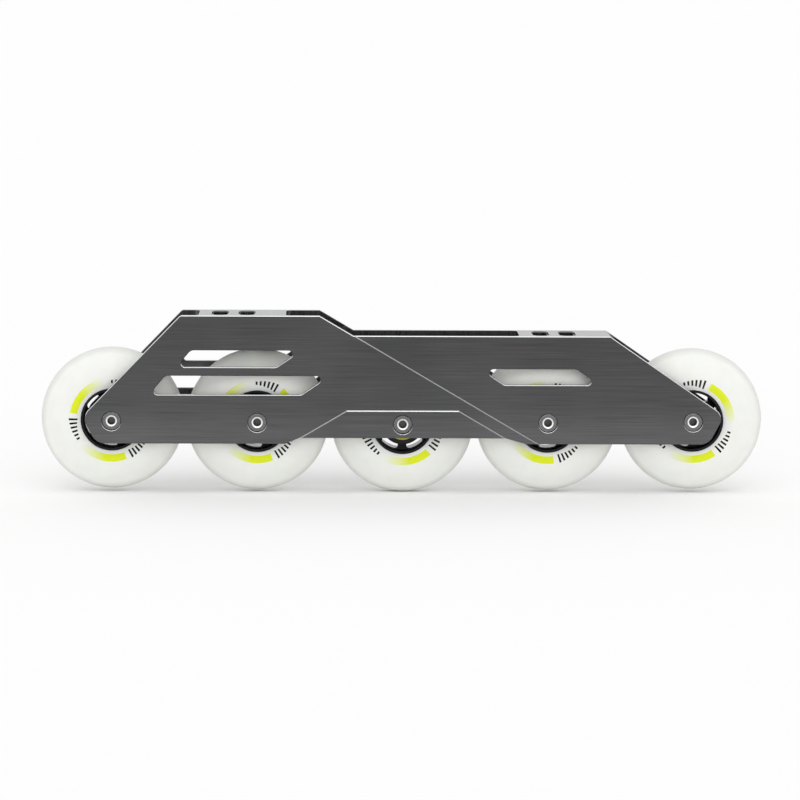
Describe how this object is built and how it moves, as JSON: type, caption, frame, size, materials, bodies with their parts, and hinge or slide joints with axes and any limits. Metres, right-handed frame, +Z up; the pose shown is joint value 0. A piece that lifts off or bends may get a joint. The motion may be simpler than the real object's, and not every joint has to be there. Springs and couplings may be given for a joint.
{
  "type": "inline skate frame",
  "caption": "Inline skate frame: a machined aluminium channel with stepped heel and toe platforms, carrying urethane wheels on ball bearings and through axles.",
  "frame": {"origin": "on the floor under the middle wheel, half way across the frame", "axes": "+X towards the toe, +Y towards the side away from the axle heads, +Z up"},
  "size_m": [0.406, 0.0364, 0.101],
  "materials": {
    "frame_aluminium": "brushed and anodised dark grey, with bright cut edges",
    "axle_steel": "dark plated steel with a polished socket rim",
    "spacer_aluminium": "turned",
    "bearing_steel": "ground and polished",
    "cage_nylon": "moulded nylon",
    "shield_steel": "pressed steel, yellow passivated",
    "core_nylon": "moulded glass-filled nylon, black",
    "tyre_polyurethane": "cast polyurethane, milky white, with a printed band"
  },
  "bodies": {
    "chassis": {"frame": "frame_aluminium", "axle_1": "axle_steel", "axle_2": "axle_steel", "axle_3": "axle_steel", "axle_4": "axle_steel", "axle_5": "axle_steel", "spacer_1": "spacer_aluminium", "spacer_2": "spacer_aluminium", "spacer_3": "spacer_aluminium", "spacer_4": "spacer_aluminium", "spacer_5": "spacer_aluminium", "inner_rings_1": "bearing_steel", "inner_rings_2": "bearing_steel", "inner_rings_3": "bearing_steel", "inner_rings_4": "bearing_steel", "inner_rings_5": "bearing_steel"},
    "wheel_1": {"tyre_1": "tyre_polyurethane", "core_1": "core_nylon", "outer_rings_1": "bearing_steel", "shields_1": "shield_steel"},
    "ball_set_1": {"balls_1": "bearing_steel", "cage_1": "cage_nylon"},
    "wheel_2": {"tyre_2": "tyre_polyurethane", "core_2": "core_nylon", "outer_rings_2": "bearing_steel", "shields_2": "shield_steel"},
    "ball_set_2": {"balls_2": "bearing_steel", "cage_2": "cage_nylon"},
    "wheel_3": {"tyre_3": "tyre_polyurethane", "core_3": "core_nylon", "outer_rings_3": "bearing_steel", "shields_3": "shield_steel"},
    "ball_set_3": {"balls_3": "bearing_steel", "cage_3": "cage_nylon"},
    "wheel_4": {"tyre_4": "tyre_polyurethane", "core_4": "core_nylon", "outer_rings_4": "bearing_steel", "shields_4": "shield_steel"},
    "ball_set_4": {"balls_4": "bearing_steel", "cage_4": "cage_nylon"},
    "wheel_5": {"tyre_5": "tyre_polyurethane", "core_5": "core_nylon", "outer_rings_5": "bearing_steel", "shields_5": "shield_steel"},
    "ball_set_5": {"balls_5": "bearing_steel", "cage_5": "cage_nylon"}
  },
  "joints": [
    {"name": "wheel_spin_1", "type": "hinge", "parent": "chassis", "child": "wheel_1", "pos_m": [-0.163, 0, 0.0417], "axis": [0, 1, 0], "continuous": true},
    {"name": "ball_spin_1", "type": "hinge", "parent": "chassis", "child": "ball_set_1", "pos_m": [-0.163, 0, 0.0417], "axis": [0, 1, 0], "continuous": true},
    {"name": "wheel_spin_2", "type": "hinge", "parent": "chassis", "child": "wheel_2", "pos_m": [-0.0815, 0, 0.04095], "axis": [0, 1, 0], "continuous": true},
    {"name": "ball_spin_2", "type": "hinge", "parent": "chassis", "child": "ball_set_2", "pos_m": [-0.0815, 0, 0.04095], "axis": [0, 1, 0], "continuous": true},
    {"name": "wheel_spin_3", "type": "hinge", "parent": "chassis", "child": "wheel_3", "pos_m": [0, 0, 0.04], "axis": [0, 1, 0], "continuous": true},
    {"name": "ball_spin_3", "type": "hinge", "parent": "chassis", "child": "ball_set_3", "pos_m": [0, 0, 0.04], "axis": [0, 1, 0], "continuous": true},
    {"name": "wheel_spin_4", "type": "hinge", "parent": "chassis", "child": "wheel_4", "pos_m": [0.0815, 0, 0.04095], "axis": [0, 1, 0], "continuous": true},
    {"name": "ball_spin_4", "type": "hinge", "parent": "chassis", "child": "ball_set_4", "pos_m": [0.0815, 0, 0.04095], "axis": [0, 1, 0], "continuous": true},
    {"name": "wheel_spin_5", "type": "hinge", "parent": "chassis", "child": "wheel_5", "pos_m": [0.163, 0, 0.0417], "axis": [0, 1, 0], "continuous": true},
    {"name": "ball_spin_5", "type": "hinge", "parent": "chassis", "child": "ball_set_5", "pos_m": [0.163, 0, 0.0417], "axis": [0, 1, 0], "continuous": true}
  ],
  "couplings": [
    {"joint": "ball_spin_1", "follows": "wheel_spin_1", "ratio": 0.6323},
    {"joint": "ball_spin_2", "follows": "wheel_spin_2", "ratio": 0.6323},
    {"joint": "ball_spin_3", "follows": "wheel_spin_3", "ratio": 0.6323},
    {"joint": "ball_spin_4", "follows": "wheel_spin_4", "ratio": 0.6323},
    {"joint": "ball_spin_5", "follows": "wheel_spin_5", "ratio": 0.6323}
  ]
}
